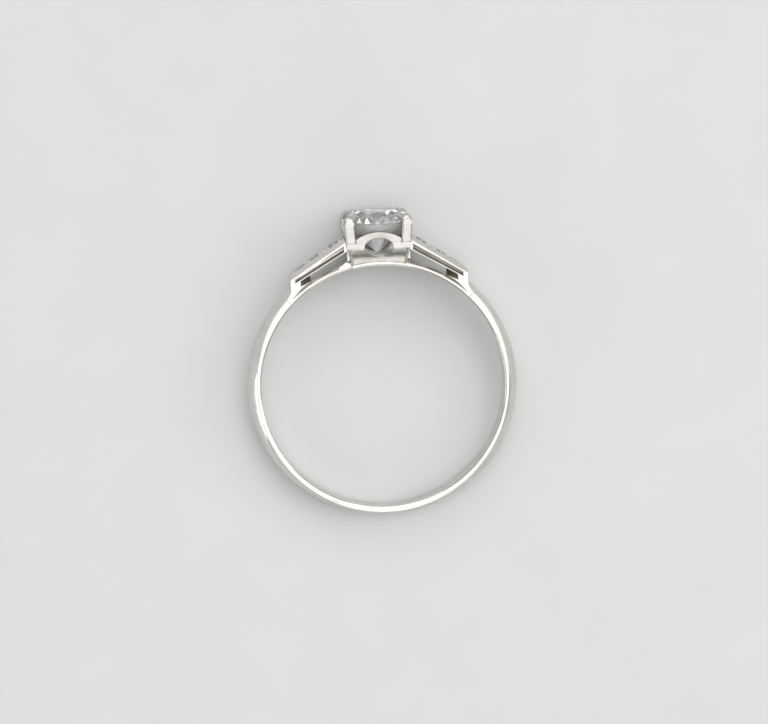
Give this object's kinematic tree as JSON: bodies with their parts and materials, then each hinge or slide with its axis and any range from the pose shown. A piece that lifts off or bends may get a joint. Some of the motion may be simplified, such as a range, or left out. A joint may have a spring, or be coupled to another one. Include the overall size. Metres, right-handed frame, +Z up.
{
  "type": "engagement ring",
  "caption": "Half-round finger ring with pierced tapering shoulders and a square four-prong head that holds one round brilliant stone.",
  "frame": {"origin": "centre of the finger hole, halfway across the band", "axes": "+Z along the finger axis, -Y from the finger axis towards the centre stone, +X towards the shoulder on the right when the stone is looked at from the front with +Z up"},
  "size_m": [0.0192, 0.0217, 0.005],
  "materials": {
    "white_metal": "polished",
    "diamond": "polished facets"
  },
  "bodies": {
    "root": {"shank": "white_metal", "right_shoulder": "white_metal", "left_shoulder": "white_metal", "finger_plate": "white_metal", "head_box": "white_metal", "upper_rail": "white_metal", "right_rail": "white_metal", "lower_rail": "white_metal", "left_rail": "white_metal", "upper_right_prong": "white_metal", "lower_right_prong": "white_metal", "lower_left_prong": "white_metal", "upper_left_prong": "white_metal", "right_shoulder_beads": "white_metal", "left_shoulder_beads": "white_metal", "centre_diamond": "diamond", "right_shoulder_diamonds": "diamond", "left_shoulder_diamonds": "diamond"}
  },
  "joints": []
}
